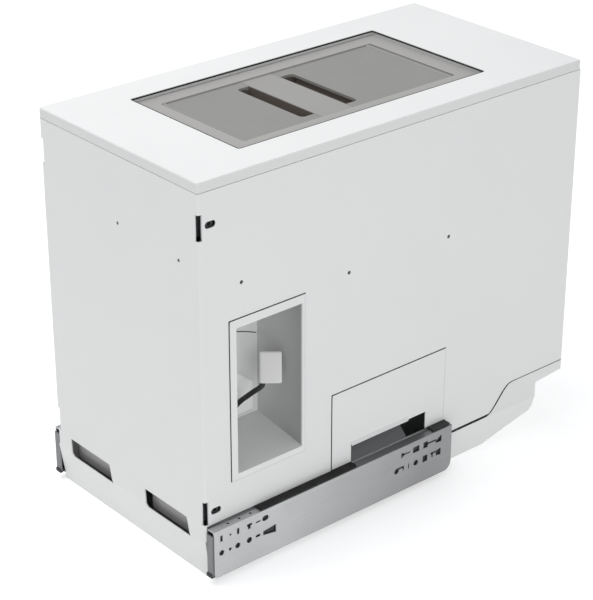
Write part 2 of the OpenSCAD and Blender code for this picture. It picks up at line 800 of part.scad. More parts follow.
// ---- frame ----
module corner_posts() color("silver") {
  post_top = wall_top - sheet_t - 0.8;
  both_sides() {
    difference() {
      union() {
        block([tray_x, -inner_y + 1.3, 50.5], [inner_x - 0.2, -232, post_top]);
        block([106, -inner_y, 61.5], [inner_x - 1.5, -inner_y + 1.5, post_top]);
        rod_up(inner_x - 1.5, -inner_y + 1.3, 61.5, post_top, 1.3);
      }
      for (z = clamp_z)
        rod_along_x(tray_x - 1, inner_x + 1, clamp_y, z, 5.2);
      for (z = [61, 361])
        block([118, -inner_y - 1, z], [inner_x + 1, -inner_y + 4, z + 30]);
    }
    block([tray_x, 232, tail_z + 0.4], [inner_x - 0.2, inner_y, post_top]);
    difference() {
      block([106, inner_y - 1.5, tail_z + 0.4], [inner_x - 0.2, inner_y, post_top]);
      for (z = [90, 240, 395])
        rod_along_y(112, inner_y - 3, inner_y + 1, z, 1.8);
    }
  }
}

module side_plates() color("silver") {
  both_sides() difference() {
    side_profile(plate_x, plate_x + 3)
      polygon([[-inner_y + 2.8, 297], [-135, 297], [-125, 265], [246, 265], [246, 308],
        [-100, 308], [-112, 321], [-inner_y + 2.8, 321]]);
    rod_along_x(plate_x - 1, plate_x + 4, 225, 290, 2);
  }
}

module front_clamp_blocks() color("black") {
  both_sides() for (z = clamp_z) difference() {
    block([106.5, -inner_y + 1.5, z - 11], [plate_x, -226, z + 11]);
    rod_along_x(plate_x - 6, plate_x + 1, clamp_y, z, 2.5);
  }
}

module front_adjusting_screws() color("black") {
  both_sides() for (z = clamp_z) {
    rod_along_x(plate_x - 6, plate_x, clamp_y, z, 2.5);
    difference() {
      rod_along_x(plate_x, inner_x - 1, clamp_y, z, 4.4);
      rod_along_x(inner_x - 3, inner_x, clamp_y, z, 2);
    }
  }
}

// ---- press ----
module bearing_plate(span) {
  difference() {
    block([-plate_x, span[0], screw_z - 14], [plate_x, span[1], screw_z + 14]);
    both_sides() {
      rod_along_y(screw_x, span[0] - 1, span[1] + 1, screw_z, bearing_r);
      rod_along_y(rod_x_pos, span[0] - 1, span[1] + 1, screw_z, rod_r);
    }
  }
}

module front_bearing_plate() color("silver") bearing_plate(plate_front_y);

module rear_bearing_plate() color("silver") bearing_plate(plate_rear_y);

module screw_bearings() color("darkgray") {
  both_sides() for (span = [plate_front_y, plate_rear_y]) {
    middle = (span[0] + span[1]) / 2;
    difference() {
      rod_along_y(screw_x, middle - 3, middle + 3, screw_z, bearing_r);
      rod_along_y(screw_x, middle - 4, middle + 4, screw_z, journal_r + play);
    }
  }
}

module guide_rods() color("silver")
  both_sides() rod_along_y(rod_x_pos, plate_front_y[0], plate_rear_y[1] - 2, screw_z, rod_r);

// the thread is drawn as a plain cylinder over its crests
module lead_screw(x) {
  rod_along_y(x, plate_front_y[0] + 0.5, plate_front_y[1] + 3, screw_z, journal_r);
  rod_along_y(x, plate_front_y[1] + 3, plate_rear_y[0] - 3, screw_z, screw_r);
  rod_along_y(x, plate_rear_y[0] - 3, plate_rear_y[1] + 2, screw_z, journal_r);
  rod_along_y(x, plate_rear_y[1] + 2, belt_y[1] + 1, screw_z, nose_r);
}

module left_lead_screw() color("silver") lead_screw(-screw_x);

module right_lead_screw() color("silver") lead_screw(screw_x);

module flanged_pulley(x, z, r, bore) {
  difference() {
    union() {
      rod_along_y(x, belt_y[0] - 0.5, belt_y[1], z, r - 0.3);
      rod_along_y(x, belt_y[0] - 1.5, belt_y[0] - 0.3, z, r + 1.5);
    }
    rod_along_y(x, belt_y[0] - 3, belt_y[1] + 1, z, bore);
  }
}

module left_screw_pulley() color("black")
  flanged_pulley(-screw_x, screw_z, big_pulley_r, nose_r);

module right_screw_pulley() color("black")
  flanged_pulley(screw_x, screw_z, big_pulley_r, nose_r);

module motor_pulley() color("silver") {
  flanged_pulley(0, shaft_z, small_pulley_r, 3.9);
  rod_along_y(0, belt_y[0] - 2, 175, shaft_z, 4);
}

module belt_loop(extra) {
  hull() {
    for (side = [-1, 1])
      translate([side * screw_x, screw_z]) circle(r = big_pulley_r + extra, $fn = 48);
    translate([0, shaft_z]) circle(r = small_pulley_r + extra, $fn = 48);
  }
}

module drive_belt() color("black") {
  front_profile(belt_y[0], belt_y[1] - 0.5) difference() {
    belt_loop(2);
    belt_loop(0);
  }
}

module motor_plate() color("silver") {
  difference() {
    union() {
      block([-60, 160, shaft_z - 45], [60, 163, screw_z + 30]);
      for (side = [-1, 1])
        block([side * 40 - 8, plate_rear_y[1], screw_z + 22], [side * 40 + 8, 163, screw_z + 25]);
      block([-60, plate_rear_y[1], screw_z + 22], [60, plate_rear_y[1] + 3, screw_z + 30]);
      for (side = [-1, 1])
        block([side * 40 - 6, plate_rear_y[1], screw_z - 8],
          [side * 40 + 6, plate_rear_y[1] + 3, screw_z + 25]);
    }
    rod_along_y(0, 159, 164, shaft_z, 14);
    for (x = [-24, 24], z = [-24, 24])
      rod_along_y(x, 159, 164, shaft_z + z, 2.5);
  }
}

module gearbox() color("gray") {
  difference() {
    union() {
      block([-32, 163, shaft_z - 32], [32, 196, shaft_z + 32]);
      for (x = [-24, 24], z = [-24, 24])
        rod_along_y(x, 158, 163.2, shaft_z + z, 2.5);
    }
    rod_along_y(0, 162, 176, shaft_z, 4 + play);
  }
}

module press_motor() color("dimgray") {
  rod_along_y(0, 196, 236, shaft_z, 27);
  rod_along_y(0, 236, 240, shaft_z, 10);
  block([18, 205, shaft_z + 10], [38, 225, shaft_z + 24]);
}

module ram_plate() color("gray") {
  x = ram_w / 2;
  difference() {
    block([-x, ram_front, ram_z], [x, ram_rear, screw_z - beam_half]);
    for (row = [0:2])
      block([-x - 1, ram_front + 3, ram_z + 6 + row * 81],
        [x + 1, ram_rear - 3, ram_z + 6 + row * 81 + 73]);
  }
}

module ram_beam() color("silver") {
  difference() {
    block([-116, beam_front, screw_z - beam_half], [116, beam_rear, screw_z + beam_half]);
    both_sides() {
      rod_along_y(screw_x, beam_front - 1, beam_rear + 1, screw_z, 10);
      rod_along_y(rod_x_pos, beam_front - 1, beam_rear + 1, screw_z, 7.5);
    }
    block([-52, beam_front + 3, screw_z - beam_half + 4], [52, beam_rear - 3, screw_z + beam_half + 1]);
  }
}

module ram_wipers() color("black") {
  both_sides()
    block([ram_w / 2, ram_front + 2, ram_z + 2], [ram_w / 2 + 1.8, ram_rear - 2, 268]);
  block([-ram_w / 2, ram_front + 3, ram_z - 3], [ram_w / 2, ram_rear - 3, ram_z]);
}

module lead_nuts() color("goldenrod") {
  both_sides() difference() {
    union() {
      rod_along_y(screw_x, beam_front - 4, beam_rear, screw_z, 10);
      rod_along_y(screw_x, beam_front - 4, beam_front, screw_z, 12.5);
    }
    rod_along_y(screw_x, beam_front - 5, beam_rear + 1, screw_z, screw_r + play);
  }
}

module guide_bushes() color("goldenrod") {
  both_sides() difference() {
    rod_along_y(rod_x_pos, beam_front, beam_rear, screw_z, 7.5);
    rod_along_y(rod_x_pos, beam_front - 1, beam_rear + 1, screw_z, rod_r + play);
  }
}

// ---- electrics ----
module control_board() color("darkgreen") {
  y = well_front - sheet_t;
  block([-105, y - 15.6, 160], [-25, y - 14, 250]);
  for (x = [-60, -30], z = [166, 244])
    rod_along_y(x, y - 14.2, y, z, 3);
  block([-98, y - 31, 170], [-78, y - 15.5, 198]);
  block([-98, y - 31, 204], [-78, y - 15.5, 232]);
  block([-52, y - 22, 172], [-34, y - 15.5, 190]);
  for (x = [-66, -50])
    rod_along_y(x, y - 40, y - 15.5, 222, 6);
}

module power_supply() color("silver") {
  difference() {
    block([-105, -185, 40], [-15, well_front - sheet_t, 130]);
    for (x = [-95:10:-25])
      block([x, -186, 60], [x + 3, -180, 110]);
  }
}

// ---- release levers ----
module lever_brackets() color("silver") {
  back = -inner_y;
  for (shift = [0, -128]) translate([shift, 0, 0]) difference() {
    union() {
      block([slot_x[0] - 4, back, 60.5], [slot_x[1] + 4, back + 1.5, 76]);
      for (x = [slot_x[0] - 4, slot_x[1] + 2.5])
        block([x, back, 58], [x + 1.5, lever_y + 5, 70]);
    }
    rod_along_x(slot_x[0] - 8, slot_x[1] + 8, lever_y, lever_z, lever_pin_r);
  }
}

module release_lever(shift) {
  x0 = slot_x[0] + 5 + shift;
  x1 = slot_x[1] - 1 + shift;
  difference() {
    union() {
      rod_along_x(x0, x1, lever_y, lever_z, 4);
      block([x0 - 6, lever_y - 4, 34], [x1 + 2.5, lever_y - 2, 60.3]);
      block([x0, lever_y - 4, 50], [x1, lever_y - 2, lever_z]);
      block([x0 + 20, lever_y, lever_z - 1.5], [x1 - 20, lever_y + 22, lever_z + 1.5]);
    }
    rod_along_x(x0 - 1, x1 + 1, lever_y, lever_z, lever_pin_r + play);
  }
}

module left_release_lever() color("gray") release_lever(-128);

module right_release_lever() color("gray") release_lever(0);

module lever_springs() color("silver") {
  for (shift = [0, -128], turn = [0:3])
    translate([slot_x[0] - 1.4 + turn * 1.3 + shift, lever_y, lever_z])
      rotate([0, 90, 0]) rotate_extrude() translate([2.7, 0]) circle(r = 0.55, $fn = 16);
}

left_cabinet_member();
right_cabinet_member();
runner_bumpers();
intermediate_members();
outer_ball_cages();
inner_ball_cages();
drawer_members();
runner_screws();
base_tray();
outer_casing();
rear_panel();
casing_screws();
top_cap();
cap_gasket();
recess_frame();
centre_bridge();
finger_wells();
hinge_pins();
front_flap();
rear_flap();
upper_chute();
bin_well();
front_bin();
rear_bin();
cable_pocket();
mains_connector();
connector_lead();
lead_grommet();
side_hatch();
hatch_pivot_brackets();
hatch_guard();
skirt_seals();
corner_posts();
side_plates();
front_clamp_blocks();
front_adjusting_screws();
front_bearing_plate();
rear_bearing_plate();
screw_bearings();
guide_rods();
ram_plate();
ram_beam();
ram_wipers();
lead_nuts();
guide_bushes();
left_lead_screw();
right_lead_screw();
left_screw_pulley();
right_screw_pulley();
motor_pulley();
drive_belt();
motor_plate();
gearbox();
press_motor();
control_board();
power_supply();
lever_brackets();
left_release_lever();
right_release_lever();
lever_springs();
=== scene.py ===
"""Looks for the under-counter trash compactor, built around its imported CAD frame.

Blender works in metres, +Z up, with the front towards -Y. Places in the mesh code below are in millimetres.
"""

import json
import math

import bmesh
import bpy
from mathutils import Matrix, Vector


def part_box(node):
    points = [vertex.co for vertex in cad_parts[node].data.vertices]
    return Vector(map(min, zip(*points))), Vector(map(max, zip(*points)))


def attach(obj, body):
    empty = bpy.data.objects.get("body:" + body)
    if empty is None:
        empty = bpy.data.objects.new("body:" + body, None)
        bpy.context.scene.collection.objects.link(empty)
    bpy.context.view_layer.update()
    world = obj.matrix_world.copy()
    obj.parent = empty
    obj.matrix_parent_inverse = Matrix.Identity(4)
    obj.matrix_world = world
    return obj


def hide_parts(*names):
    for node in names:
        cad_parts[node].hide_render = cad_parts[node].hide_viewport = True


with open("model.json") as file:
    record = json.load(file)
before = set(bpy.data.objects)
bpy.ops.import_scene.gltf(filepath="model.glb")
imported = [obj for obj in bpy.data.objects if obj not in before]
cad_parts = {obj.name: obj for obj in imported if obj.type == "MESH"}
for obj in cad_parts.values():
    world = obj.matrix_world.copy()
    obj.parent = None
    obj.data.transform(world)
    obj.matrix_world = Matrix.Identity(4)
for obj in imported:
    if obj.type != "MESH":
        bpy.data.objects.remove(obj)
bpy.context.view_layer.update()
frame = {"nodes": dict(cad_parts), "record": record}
NODES = frame["nodes"]
BODY_OF = {n: b for b, names in frame["record"]["behaviour"]["bodies"].items() for n in names}
SLOT_OF = {s["node"]: s["material_slot"] for s in frame["record"]["subparts"]}
MM = 0.001

# ---- camera, floor and light ----
AZIMUTH = math.radians(49.47)
ELEVATION = math.radians(26.46)
DISTANCE = 2.054
TARGET = Vector((0, -0.0285, 0.1877))


def add_camera():
    data = bpy.data.cameras.new("camera")
    data.lens = 118.6
    data.sensor_width = 36
    data.clip_start = 0.05
    cam = bpy.data.objects.new("camera", data)
    bpy.context.scene.collection.objects.link(cam)
    back = Vector(
        (
            math.sin(AZIMUTH) * math.cos(ELEVATION),
            -math.cos(AZIMUTH) * math.cos(ELEVATION),
            math.sin(ELEVATION),
        )
    )
    cam.location = TARGET + DISTANCE * back
    cam.rotation_euler = (-back).to_track_quat("-Z", "Y").to_euler()
    bpy.context.scene.camera = cam


def add_area(name, place, aim, size, power):
    data = bpy.data.lights.new(name, "AREA")
    data.shape = "RECTANGLE"
    data.size, data.size_y = size
    data.energy = power
    light = bpy.data.objects.new(name, data)
    bpy.context.scene.collection.objects.link(light)
    light.location = place
    light.rotation_euler = (Vector(aim) - Vector(place)).to_track_quat("-Z", "Y").to_euler()


def add_world(strength):
    world = bpy.data.worlds.new("studio")
    bpy.context.scene.world = world
    world.use_nodes = True
    tree = world.node_tree
    tree.nodes.clear()
    out = tree.nodes.new("ShaderNodeOutputWorld")
    mix = tree.nodes.new("ShaderNodeMixShader")
    path = tree.nodes.new("ShaderNodeLightPath")
    soft = tree.nodes.new("ShaderNodeBackground")
    white = tree.nodes.new("ShaderNodeBackground")
    soft.inputs["Strength"].default_value = strength
    soft.inputs["Color"].default_value = (0.97, 0.985, 1, 1)
    white.inputs["Color"].default_value = (1, 1, 1, 1)
    tree.links.new(path.outputs["Is Camera Ray"], mix.inputs["Fac"])
    tree.links.new(soft.outputs[0], mix.inputs[1])
    tree.links.new(white.outputs[0], mix.inputs[2])
    tree.links.new(mix.outputs[0], out.inputs["Surface"])


def add_floor(reach=6, below=0.0004):
    mesh = bpy.data.meshes.new("floor")
    corners = [(-reach, -reach, 0), (reach, -reach, 0), (reach, reach, 0), (-reach, reach, 0)]
    mesh.from_pydata(corners, [], [(0, 1, 2, 3)])
    floor = bpy.data.objects.new("floor", mesh)
    floor.location.z = -below
    bpy.context.scene.collection.objects.link(floor)
    mat = bpy.data.materials.new("pale_floor")
    mat.use_nodes = True
    shader = mat.node_tree.nodes["Principled BSDF"]
    shader.inputs["Base Color"].default_value = (0.93, 0.93, 0.93, 1)
    shader.inputs["Roughness"].default_value = 0.85
    shader.inputs["Specular IOR Level"].default_value = 0.2
    shader.inputs["Emission Color"].default_value = (1, 1, 1, 1)
    shader.inputs["Emission Strength"].default_value = 0.36
    mesh.materials.append(mat)


add_camera()
add_world(0.56)
add_area("top_softbox", (-0.45, -0.4, 1.9), (0, -0.05, 0.4), (1.4, 1.4), 17.5)
add_area("side_softbox", (2.8, -1.05, 1.3), (0, 0, 0.2), (1.6, 1.6), 18.5)
add_floor()
bpy.context.scene.view_settings.view_transform = "Standard"


# ---- materials ----
class Shader:
    """A principled material with helpers that add texture nodes in object space."""

    def __init__(self, name):
        self.mat = bpy.data.materials.new(name)
        self.mat.use_nodes = True
        self.tree = self.mat.node_tree
        self.bsdf = self.tree.nodes["Principled BSDF"]
        self.coords = self.tree.nodes.new("ShaderNodeTexCoord").outputs["Object"]
        self.height = None

    def node(self, kind, **values):
        n = self.tree.nodes.new("ShaderNode" + kind)
        for key, value in values.items():
            if hasattr(n, key):
                setattr(n, key, value)
            else:
                n.inputs[key.replace("_", " ")].default_value = value
        return n

    def link(self, a, b):
        self.tree.links.new(a, b)

    def scaled(self, scale):
        n = self.node("Mapping")
        n.inputs["Scale"].default_value = scale
        self.link(self.coords, n.inputs["Vector"])
        return n.outputs[0]

    def noise(self, scale, detail=3.0, rough=0.55, stretch=None):
        n = self.node("TexNoise", Scale=scale, Detail=detail, Roughness=rough)
        self.link(self.scaled(stretch) if stretch else self.coords, n.inputs["Vector"])
        return n.outputs["Fac"]

    def cells(self, scale, output="Color"):
        n = self.node("TexVoronoi", Scale=scale)
        self.link(self.coords, n.inputs["Vector"])
        return n.outputs[output]

    def spread(self, value, low, high, from_low=0.3, from_high=0.7):
        n = self.node("MapRange")
        for key, v in zip(("From Min", "From Max", "To Min", "To Max"), (from_low, from_high, low, high)):
            n.inputs[key].default_value = v
        self.link(value, n.inputs["Value"])
        return n.outputs[0]

    def blend(self, factor, a, b):
        n = self.node("Mix", data_type="RGBA")
        self.link(factor, n.inputs["Factor"])
        for socket, colour in ((n.inputs[6], a), (n.inputs[7], b)):
            if isinstance(colour, bpy.types.NodeSocket):
                self.link(colour, socket)
            else:
                socket.default_value = (*colour, 1)
        return n.outputs[2]

    def worn(self, colour, edge, amount=0.5):
        """Edges that have lost a little of their finish, from the mesh's own curvature."""
        point = self.node("NewGeometry").outputs["Pointiness"]
        factor = self.spread(point, 0, amount, 0.52, 0.6)
        return self.blend(factor, colour, edge)

    def mottled(self, colour, low, high, cloud):
        """A colour that drifts between two shades of itself."""
        return self.blend(self.spread(cloud, 0, 1), shade(colour, low), shade(colour, high))

    def along_axis(self, vector, axis, low, high):
        split = self.node("SeparateXYZ")
        self.link(vector, split.inputs[0])
        return self.spread(split.outputs[axis], 0, 1, low, high)

    def facing(self, axis, low, high):
        """How far a surface faces along an object axis, spread from 0 at low to 1 at high."""
        return self.along_axis(self.node("TexCoord").outputs["Normal"], axis, low, high)

    def place(self, axis, low, high):
        """Where a point lies along an object axis, spread from 0 at low to 1 at high, in metres."""
        return self.along_axis(self.coords, axis, low, high)

    def bump(self, value, distance, strength=1.0):
        n = self.node("Bump", Strength=strength, Distance=distance)
        self.link(value, n.inputs["Height"])
        if self.height:
            self.link(self.height, n.inputs["Normal"])
        self.height = n.outputs[0]

    def done(self, colour=None, rough=None, **fixed):
        for key, value in fixed.items():
            self.bsdf.inputs[key.replace("_", " ")].default_value = value
        if colour:
            self.link(colour, self.bsdf.inputs["Base Color"])
        if rough:
            self.link(rough, self.bsdf.inputs["Roughness"])
        if self.height:
            self.link(self.height, self.bsdf.inputs["Normal"])
        return self.mat


def shade(colour, k):
    return tuple(min(1.0, c * k) for c in colour)


def sprayed(s, tint, rough, grain, depth):
    """The fine orange peel and slow waves of a sprayed coat."""
    s.bump(s.noise(grain, 2, 0.5), depth, 0.55)
    s.bump(s.noise(55, 1, 0.5), depth * 2, 0.12)
    return s.done(tint, s.spread(s.noise(25, 4), rough - 0.05, rough + 0.06))


def powder_coat(name, colour, rough=0.5, grain=900, depth=0.00006):
    s = Shader(name)
    tint = s.worn(s.mottled(colour, 0.985, 1.01, s.noise(7, 2)), shade(colour, 1.05))
    return sprayed(s, tint, rough, grain, depth)


def cap_coat_painted_light(name, lit_top, side):
    """Powder coat with painted light: the level top gets a brighter colour than the turned-down sides, which
    get painted shade.
    """
    s = Shader(name)
    cloud = s.noise(7, 2)
    painted_lit_top = s.mottled(lit_top, 0.985, 1.01, cloud)
    # below is the painted-shade colour for the turned-down sides
    below = s.mottled(side, 0.985, 1.01, cloud)
    return sprayed(s, s.blend(s.facing("Z", 0.3, 0.85), below, painted_lit_top), 0.4, 500, 0.00004)


def pocket_coat_painted_shade(name, face, inside):
    """Powder coat that is pale on the outer flange, with painted shade inside the pocket: darker with depth,
    darkest on the rear wall, less dark on the floor.
    """
    s = Shader(name)
    outside = s.place("X", 0.1215, 0.1226)
    # depth is a painted-shade mask: the walls darken from the opening towards the back of the pocket, and
    # the rear wall darkens most
    depth = s.place("X", 0.055, 0.12)
    painted_shade_walls = s.blend(depth, inside, shade(inside, 0.5))
    rear = s.blend(depth, shade(inside, 0.8), shade(inside, 0.4))
    painted_shade_inside = s.blend(s.facing("Y", -0.9, -0.3), rear, painted_shade_walls)
    painted_shade_inside = s.blend(s.facing("Z", 0.4, 0.9), painted_shade_inside, shade(inside, 0.85))
    outer = s.mottled(face, 0.985, 1.01, s.noise(7, 2))
    s.bump(s.noise(900, 2, 0.5), 0.00006, 0.5)
    return s.done(s.blend(outside, painted_shade_inside, outer), s.spread(s.noise(25, 4), 0.43, 0.54))


def moulded(name, colour, rough=0.5, grain=1400, depth=0.00008, edge=1.12):
    s = Shader(name)
    tint = s.worn(s.mottled(colour, 0.96, 1.03, s.noise(11, 3)), shade(colour, edge))
    s.bump(s.cells(grain, "Distance"), depth, 0.5)
    return s.done(tint, s.spread(s.noise(40, 4), rough - 0.06, rough + 0.07))


def plated(name, colour, rough=0.36, stretch=(1, 0.06, 1), metallic=0.85):
    s = Shader(name)
    streaks = s.noise(420, 4, 0.6, stretch)
    tint = s.worn(s.mottled(colour, 0.93, 1.05, s.noise(16, 4, 0.6)), shade(colour, 1.15))
    s.bump(streaks, 0.000008, 0.3)
    return s.done(tint, s.spread(streaks, rough - 0.08, rough + 0.1), Metallic=metallic)


def runner_zinc_painted_shade(name, colour):
    """Zinc plate with drawn streaks, with painted shade that darkens it towards the rear."""
    s = Shader(name)
    cloud = s.noise(16, 4, 0.6)
    pale = s.mottled(colour, 0.96, 1.05, cloud)
    painted_rear_shade = s.mottled(colour, 0.56, 0.62, cloud)
    # painted shade: the plate darkens towards the rear
    tint = s.blend(s.place("Y", -0.17, 0.03), pale, painted_rear_shade)
    streaks = s.noise(420, 4, 0.6, (1, 0.06, 1))
    s.bump(streaks, 0.00003, 0.5)
    return s.done(tint, s.spread(streaks, 0.36, 0.54), Metallic=0.7)


def soft_black(name, colour, rough=0.6, depth=0.00005):
    s = Shader(name)
    tint = s.mottled(colour, 1, 1.9, s.noise(30, 5))
    s.bump(s.noise(1500, 2), depth, 0.5)
    return s.done(tint, s.spread(s.noise(60, 4), rough - 0.08, rough + 0.1))


def toothed(name, colour):
    """Rubber with moulded teeth across it."""
    s = Shader(name)
    wave = s.node("TexWave", Scale=60, bands_direction="X")
    s.link(s.coords, wave.inputs["Vector"])
    s.bump(wave.outputs["Fac"], 0.0006, 0.6)
    return s.done(s.mottled(colour, 1, 1.9, s.noise(30, 5)), s.spread(s.noise(60, 4), 0.55, 0.72))


PANEL = (0.665, 0.668, 0.665)
MATERIALS = {
    "panel_white": powder_coat("panel_white", PANEL, 0.48),
    # painted light: the cap's brighter top colour and darker side colour stand in for light from above
    "cap_white": cap_coat_painted_light("cap_white", (0.82, 0.822, 0.82), shade(PANEL, 0.94)),
    "tray_white": powder_coat("tray_white", (0.66, 0.665, 0.662), 0.5),
    "galvanised": plated("galvanised", (0.56, 0.575, 0.59), 0.42),
    "bright_steel": plated("bright_steel", (0.58, 0.59, 0.6), 0.36, (1, 1, 0.1), 1.0),
    "ledge_grey": moulded("ledge_grey", (0.36, 0.352, 0.345), 0.42, 900, 0.00006),
    "flap_grey": moulded("flap_grey", (0.27, 0.266, 0.257), 0.5, 800, 0.0001, 1),
    "well_brown": moulded("well_brown", (0.125, 0.104, 0.094), 0.5, 900, 0.00008),
    "dark_plastic": moulded("dark_plastic", (0.05, 0.052, 0.055), 0.5),
    "black_plastic": soft_black("black_plastic", (0.012, 0.012, 0.013), 0.42),
    "white_plastic": moulded("white_plastic", (0.70, 0.70, 0.69), 0.36, 1600, 0.00004, 1.05),
    "rubber": soft_black("rubber", (0.014, 0.014, 0.015), 0.62, 0.00008),
    "bronze": plated("bronze", (0.55, 0.36, 0.16), 0.35, (1, 1, 1), 1.0),
    "motor_paint": soft_black("motor_paint", (0.022, 0.023, 0.025), 0.35),
    "circuit_green": moulded("circuit_green", (0.02, 0.11, 0.05), 0.35),
}
# nodes whose finish differs from their slot's
# painted shade: near-black steel on the intermediate members and ball cages darkens the runner holes
DARK_STEEL_PAINTED_SHADE = plated("dark_steel_painted_shade", (0.05, 0.05, 0.052), 0.5, metallic=0.5)
LEVER_GREY = moulded("lever_grey", (0.36, 0.36, 0.35), 0.45)
# runner plate with painted shade towards the rear
RUNNER_ZINC_PAINTED_SHADE = runner_zinc_painted_shade("runner_zinc_painted_shade", (0.51, 0.515, 0.522))
SPECIAL = {
    # the pocket's inside carries painted shade
    "cable_pocket": pocket_coat_painted_shade("pocket_white_painted_shade", shade(PANEL, 1.03), (0.80, 0.805, 0.80)),
    "hatch_guard": moulded("guard_grey", (0.14, 0.143, 0.147), 0.42),
    "left_release_lever": LEVER_GREY,
    "right_release_lever": LEVER_GREY,
    "drive_belt": toothed("toothed_rubber", (0.014, 0.014, 0.015)),
    "casing_screws": soft_black("blackened_steel", (0.02, 0.02, 0.021), 0.4),
    "centre_bridge": moulded("bridge_grey", (0.31, 0.303, 0.297), 0.42, 900, 0.00006),
    "front_adjusting_screws": soft_black("black_screws", (0.012, 0.012, 0.013), 0.4),
    # painted shadow: the near-black skirt seals stand in for the shadow in the gap under the casing's skirt
    "skirt_seals": soft_black("seal_black_painted_shadow", (0.004, 0.004, 0.004), 0.8),
    "intermediate_members": DARK_STEEL_PAINTED_SHADE,
    "outer_ball_cages": DARK_STEEL_PAINTED_SHADE,
    "left_cabinet_member": RUNNER_ZINC_PAINTED_SHADE,
    "right_cabinet_member": RUNNER_ZINC_PAINTED_SHADE,
}

for name, obj in NODES.items():
    for slot in obj.material_slots:
        slot.material = SPECIAL.get(name, MATERIALS[SLOT_OF[name]])


# ---- mesh helpers ----
def add_piece(name, bm, node, slot=None, material=None, stands_for=(), angle=32):
    """Turn a bmesh into a piece that rides with the body of a CAD node."""
    mesh = bpy.data.meshes.new(name)
    bm.to_mesh(mesh)
    bm.free()
    for poly in mesh.polygons:
        poly.use_smooth = True
    mesh.set_sharp_from_angle(angle=math.radians(angle))
    return add_data(name, mesh, node, slot, material, stands_for)


def add_data(name, data, node, slot=None, material=None, stands_for=()):
    slot = slot or SLOT_OF[node]
    data.materials.append(material or MATERIALS[slot])
    obj = bpy.data.objects.new(name, data)
    bpy.context.scene.collection.objects.link(obj)
    if isinstance(data, bpy.types.Mesh):
        flat = obj.modifiers.new("flat_faces", "WEIGHTED_NORMAL")
        flat.keep_sharp = True
        flat.weight = 100
    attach(obj, BODY_OF[node])
    if stands_for:
        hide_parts(*stands_for)
    return obj


def soft_box(bm, low, high, bevel=0.0004, place=None):
    """A box between two corners in mm, with rounded edges."""
    geom = bmesh.ops.create_cube(bm, size=1)["verts"]
    size = [(b - a) * MM for a, b in zip(low, high)]
    middle = [(a + b) / 2 * MM for a, b in zip(low, high)]
    move = Matrix.Translation(middle) @ Matrix.Diagonal((*size, 1))
    bmesh.ops.transform(bm, matrix=(place @ move) if place else move, verts=geom)
    edges = list(dict.fromkeys(e for v in geom for e in v.link_edges))
    if bevel:
        bmesh.ops.bevel(bm, geom=edges, offset=bevel, segments=3, affect="EDGES", clamp_overlap=True)


def skin(bm, rings, sides):
    """Faces between rings of vertices, closed at both ends."""
    for one, two in zip(rings, rings[1:]):
        for k in range(sides):
            n = (k + 1) % sides
            bm.faces.new((one[k], one[n], two[n], two[k]))
    bm.faces.new(rings[0])
    bm.faces.new(rings[-1])
    bmesh.ops.recalc_face_normals(bm, faces=bm.faces)


def turned(bm, profile, centre, sides=48):
    """A closed solid of revolution along y; the profile is (distance along, radius) in mm."""
    rings = []
    for along, radius in profile:
        ring = []
        for k in range(sides):
            a = 2 * math.pi * k / sides
            v = (math.cos(a) * radius, along, math.sin(a) * radius)
            ring.append(bm.verts.new([(p + q) * MM for p, q in zip(centre, v)]))
        rings.append(ring)
    skin(bm, rings, sides)


def tube(name, paths, radius, node, stands_for=(), slot=None, material=None,
         kind="NURBS", resolution=6, sides=5, caps=True):
    """A round wire through lists of points in mm; a point's fourth number, if any, scales the radius."""
    curve = bpy.data.curves.new(name, "CURVE")
    curve.dimensions = "3D"
    curve.bevel_depth = radius * MM
    curve.bevel_resolution = sides
    curve.use_fill_caps = caps
    curve.resolution_u = resolution
    for points in paths:
        line = curve.splines.new(kind)
        line.points.add(len(points) - 1)
        for item, p in zip(line.points, points):
            item.co = (p[0] * MM, p[1] * MM, p[2] * MM, 1)
            item.radius = p[3] if len(p) > 3 else 1
        if kind == "NURBS":
            line.use_endpoint_u = True
            line.order_u = 4
    return add_data(name, curve, node, slot, material, stands_for)


def dressed(node, keep, width, segments=3, material=None):
    """A copy of a CAD node with its chosen sharp edges rounded."""
    bm = bmesh.new()
    bm.from_mesh(NODES[node].data)
    bmesh.ops.remove_doubles(bm, verts=bm.verts, dist=1e-6)
    bmesh.ops.dissolve_limit(bm, angle_limit=math.radians(0.5), verts=bm.verts, edges=bm.edges)
    edges = [
        e for e in bm.edges
        if len(e.link_faces) == 2 and e.calc_face_angle(0) > 0.6 and keep(*(v.co / MM for v in e.verts))
    ]
    bmesh.ops.bevel(bm, geom=edges, offset=width * MM, segments=segments, affect="EDGES", clamp_overlap=True)
    return add_piece(node + "_dressed", bm, node, material=material, stands_for=(node,))


# ---- visible details ----
def level_edge(height, tolerance=0.05):
    return lambda a, b: abs(a.z - height) < tolerance and abs(b.z - height) < tolerance


box_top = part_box("top_cap")[1][2] / MM
FLAP_TOP = 414
dressed("top_cap", level_edge(box_top), 1.1)
for flap in ("front_flap", "rear_flap"):
    dressed(flap, level_edge(FLAP_TOP, 0.3), 0.35, 2)

# the lead's route from the connector, through the grommet, to the power supply
LEAD = [
    (95.43, -153.67, 174), (96.12, -154.26, 172.05), (95.2, -156.2, 169.85), (92.5, -157.7, 167.4),
    (87.9, -158.4, 163.3), (81.5, -158.2, 157.4), (73.6, -157.5, 150.2), (65.4, -157.3, 142.8),
    (60.8, -160.5, 135.9), (60.9, -166, 130.6), (58.5, -169.6, 127.4), (54.5, -170, 127),
    (46, -170, 127), (36, -168, 125), (20, -160, 119), (5, -151, 114), (-5, -148, 112), (-15, -148, 112),
]
tube("smooth_lead", [LEAD], 2.7, "connector_lead", ("connector_lead",))

